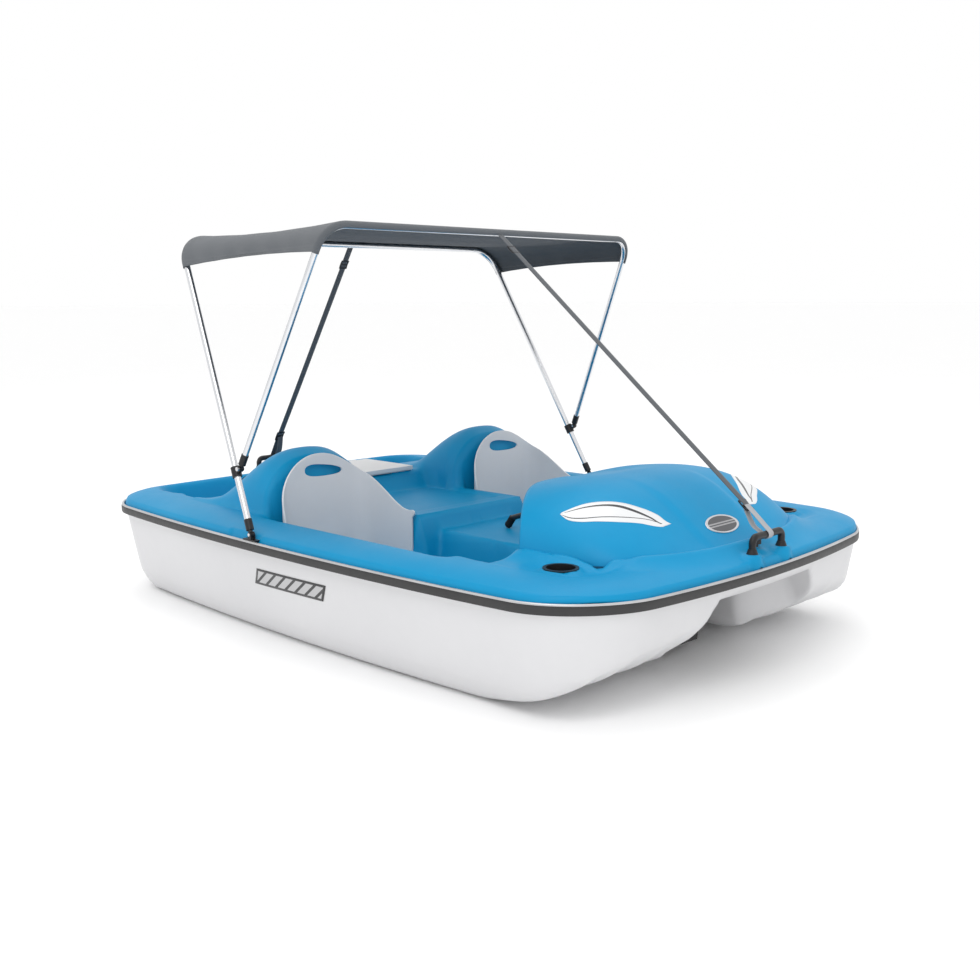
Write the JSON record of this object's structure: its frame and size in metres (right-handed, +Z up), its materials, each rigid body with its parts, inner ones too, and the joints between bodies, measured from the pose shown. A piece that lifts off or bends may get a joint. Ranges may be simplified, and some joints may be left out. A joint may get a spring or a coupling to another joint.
{
  "type": "pedal boat",
  "caption": "Twin-pontoon pedal boat with domed seats, sliding seat backs, paddle-wheel crank drive, lever-steered rudder, cooler and folding sun canopy.",
  "frame": {"origin": "on the ground under the middle of the boat, half way along and half way across", "axes": "+X towards the bow, +Y to port, +Z up"},
  "size_m": [2.35, 1.626, 1.2483],
  "materials": {
    "hull_plastic": "smooth white moulded plastic",
    "deck_plastic": "satin blue moulded plastic",
    "seat_plastic": "satin white moulded plastic",
    "white_plastic": "matt white plastic",
    "black_plastic": "fine grained black plastic",
    "rail_rubber": "dark grey extruded vinyl",
    "grip_rubber": "matt black rubber",
    "bright_trim": "bright strip",
    "bow_aluminium": "polished tube",
    "crank_steel": "zinc-plated steel",
    "screw_steel": "stainless steel",
    "black_metal": "black powder coat",
    "badge_metal": "domed grey badge with a silver edge",
    "decal_film": "printed film in grey, white and black stripes",
    "foam": "white closed-cell foam",
    "canopy_fabric": "slate grey woven polyester",
    "webbing": "grey woven webbing"
  },
  "bodies": {
    "boat": {"hull": "hull_plastic", "deck": "deck_plastic", "front_cowl": "deck_plastic", "rub_rail": "rail_rubber", "rail_trim": "bright_trim", "bow_handle": "black_plastic", "stern_handle": "black_plastic", "handle_screws": "screw_steel", "cup_holder_starboard": "black_plastic", "cup_holder_port": "black_plastic", "rod_holder_starboard": "black_plastic", "rod_holder_port": "black_plastic", "bow_knob": "black_plastic", "cooler_tub": "white_plastic", "cooler_hinge_pins": "screw_steel", "crank_bushings": "black_plastic", "crank_brackets": "black_plastic", "deck_hinge_starboard": "black_plastic", "deck_hinge_port": "black_plastic", "hinge_pins": "screw_steel", "steering_bushing": "black_plastic", "rudder_bushing": "black_plastic", "flotation_foam": "foam", "cowl_decals": "decal_film", "bow_badge": "badge_metal", "hull_decals": "decal_film", "front_strap": "webbing", "rear_strap": "webbing", "front_strap_buckle": "black_plastic", "rear_strap_buckle": "black_plastic"},
    "lid": {"cooler_lid": "white_plastic"},
    "drain": {"drain_plug": "black_plastic"},
    "crank": {"crankshaft": "crank_steel", "paddle_wheel": "black_plastic", "wheel_bolts": "screw_steel"},
    "pedal_so": {"pedal_starboard_outer": "black_plastic"},
    "pedal_si": {"pedal_starboard_inner": "black_plastic"},
    "pedal_pi": {"pedal_port_inner": "black_plastic"},
    "pedal_po": {"pedal_port_outer": "black_plastic"},
    "steering": {"steering_lever": "black_metal", "steering_grip": "grip_rubber"},
    "rod": {"push_rod": "crank_steel"},
    "rudder": {"rudder": "white_plastic", "tiller_arm": "crank_steel"},
    "back_starboard": {"seat_back_starboard": "seat_plastic"},
    "back_port": {"seat_back_port": "seat_plastic"},
    "main_bow": {"main_bow": "bow_aluminium", "main_bow_ends": "black_plastic", "jaw_slides": "black_plastic", "jaw_screws": "screw_steel", "canopy": "canopy_fabric"},
    "front_bow": {"front_bow": "bow_aluminium", "front_bow_ends": "black_plastic"}
  },
  "joints": [
    {"name": "lid_hinge", "type": "hinge", "parent": "boat", "child": "lid", "pos_m": [-0.766, 0, 0.402], "axis": [0, -1, 0], "range_deg": [0, 100]},
    {"name": "drain_pull", "type": "slide", "parent": "boat", "child": "drain", "axis": [-1, 0, 0], "range_m": [0, 0.03]},
    {"name": "crank_turn", "type": "hinge", "parent": "boat", "child": "crank", "pos_m": [0.765, 0, 0.255], "axis": [0, 1, 0], "continuous": true},
    {"name": "pedal_so_turn", "type": "hinge", "parent": "crank", "child": "pedal_so", "pos_m": [0.715, -0.355, 0.3416], "axis": [0, 1, 0], "continuous": true},
    {"name": "pedal_si_turn", "type": "hinge", "parent": "crank", "child": "pedal_si", "pos_m": [0.815, -0.255, 0.1684], "axis": [0, 1, 0], "continuous": true},
    {"name": "pedal_pi_turn", "type": "hinge", "parent": "crank", "child": "pedal_pi", "pos_m": [0.8516, 0.255, 0.305], "axis": [0, 1, 0], "continuous": true},
    {"name": "pedal_po_turn", "type": "hinge", "parent": "crank", "child": "pedal_po", "pos_m": [0.6784, 0.355, 0.205], "axis": [0, 1, 0], "continuous": true},
    {"name": "steer", "type": "hinge", "parent": "boat", "child": "steering", "pos_m": [0.4, 0, 0.31], "axis": [0, 0, 1], "range_deg": [-30, 30]},
    {"name": "rod_push", "type": "slide", "parent": "boat", "child": "rod", "axis": [1, 0, 0], "range_m": [-0.032, 0.032]},
    {"name": "rudder_turn", "type": "hinge", "parent": "boat", "child": "rudder", "pos_m": [-1.062, 0, 0.18], "axis": [0, 0, 1], "range_deg": [-31, 31]},
    {"name": "back_slide_starboard", "type": "slide", "parent": "boat", "child": "back_starboard", "axis": [1, 0, 0], "range_m": [0, 0.12]},
    {"name": "back_slide_port", "type": "slide", "parent": "boat", "child": "back_port", "axis": [1, 0, 0], "range_m": [0, 0.12]},
    {"name": "sun_top_fold", "type": "hinge", "parent": "boat", "child": "main_bow", "pos_m": [-0.13, 0, 0.34], "axis": [0, -1, 0], "range_deg": [0, 50], "deforming": ["front_strap", "rear_strap", "front_strap_buckle", "rear_strap_buckle"]},
    {"name": "front_bow_fold", "type": "hinge", "parent": "main_bow", "child": "front_bow", "pos_m": [-0.2003, 0, 0.529], "axis": [0, -1, 0], "range_deg": [0, 48.5], "deforming": ["canopy"]}
  ],
  "couplings": [
    {"joint": "rod_push", "follows": "steer", "m_per_rad": -0.0585},
    {"joint": "rudder_turn", "follows": "steer", "ratio": 1},
    {"joint": "front_bow_fold", "follows": "sun_top_fold", "ratio": 0.96}
  ]
}
